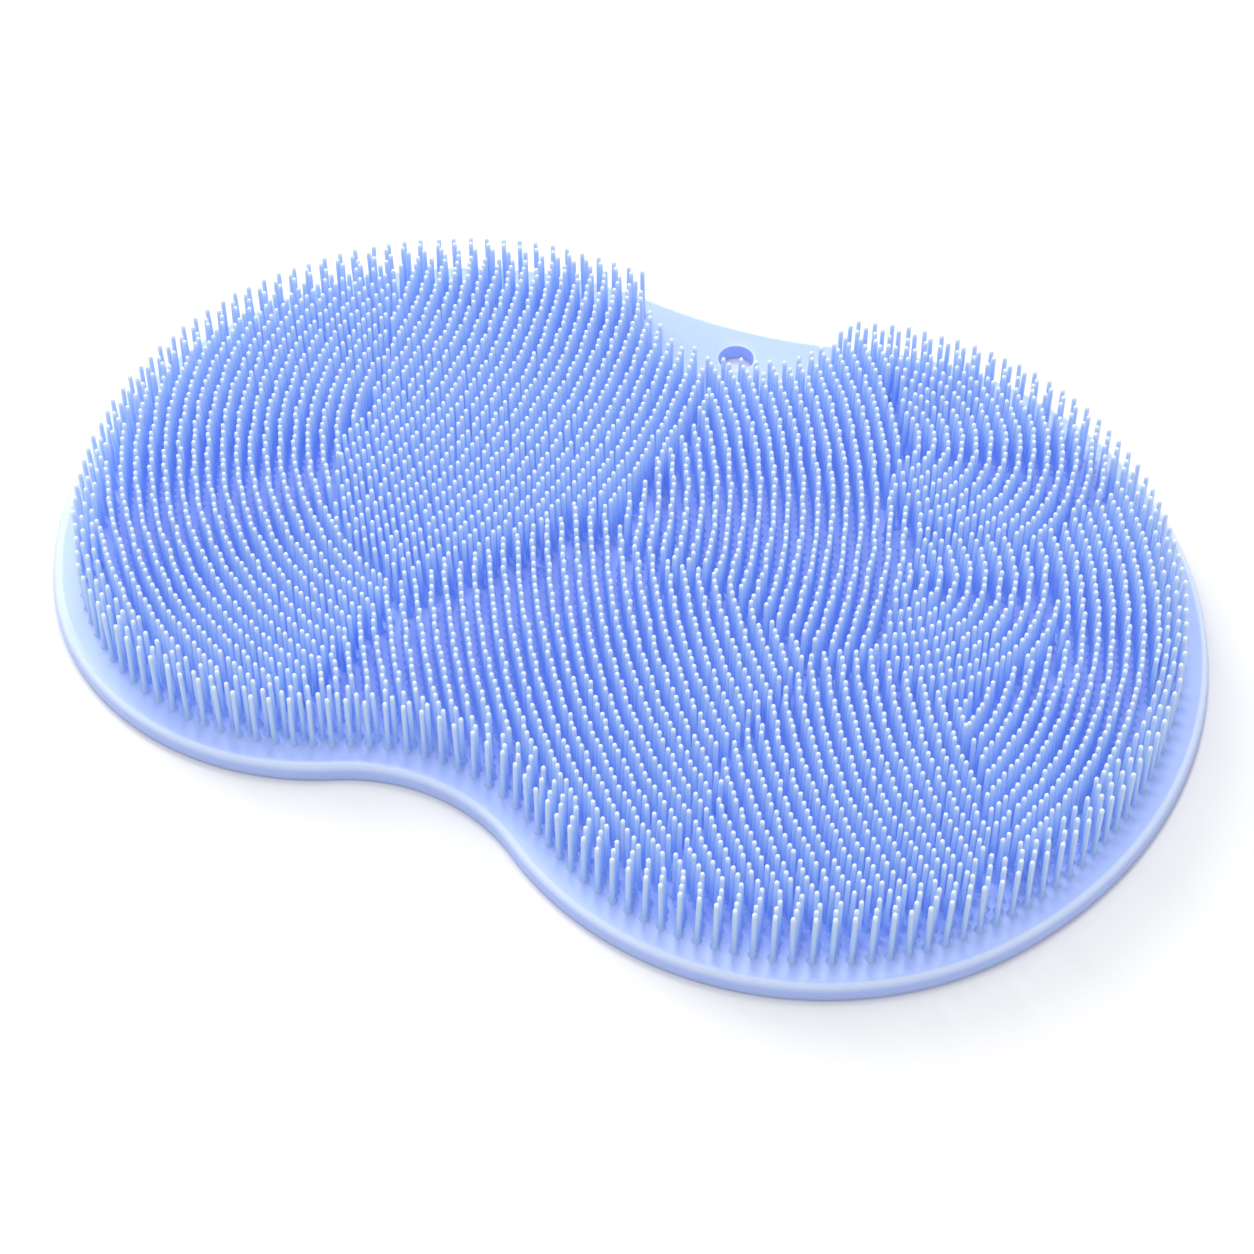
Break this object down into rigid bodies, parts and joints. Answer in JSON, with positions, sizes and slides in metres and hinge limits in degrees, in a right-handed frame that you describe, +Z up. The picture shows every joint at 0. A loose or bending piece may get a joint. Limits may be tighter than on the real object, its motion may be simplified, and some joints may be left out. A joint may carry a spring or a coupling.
{
  "type": "shower foot scrubber",
  "caption": "Soft moulded two-lobed pad with a dense field of upright bristles for scrubbing feet, a hanging hole in its back waist and suction cups underneath",
  "frame": {"origin": "centre of the pad's footprint on the surface that it stands on", "axes": "+X along the pad's length to the larger lobe, +Y across it to the waist with the hanging hole, +Z up out of the bristles"},
  "size_m": [0.3, 0.2122, 0.0214],
  "materials": {
    "silicone": "soft satin translucent-looking light blue silicone"
  },
  "bodies": {
    "root": {"scrubber_pad": "silicone"}
  },
  "joints": []
}
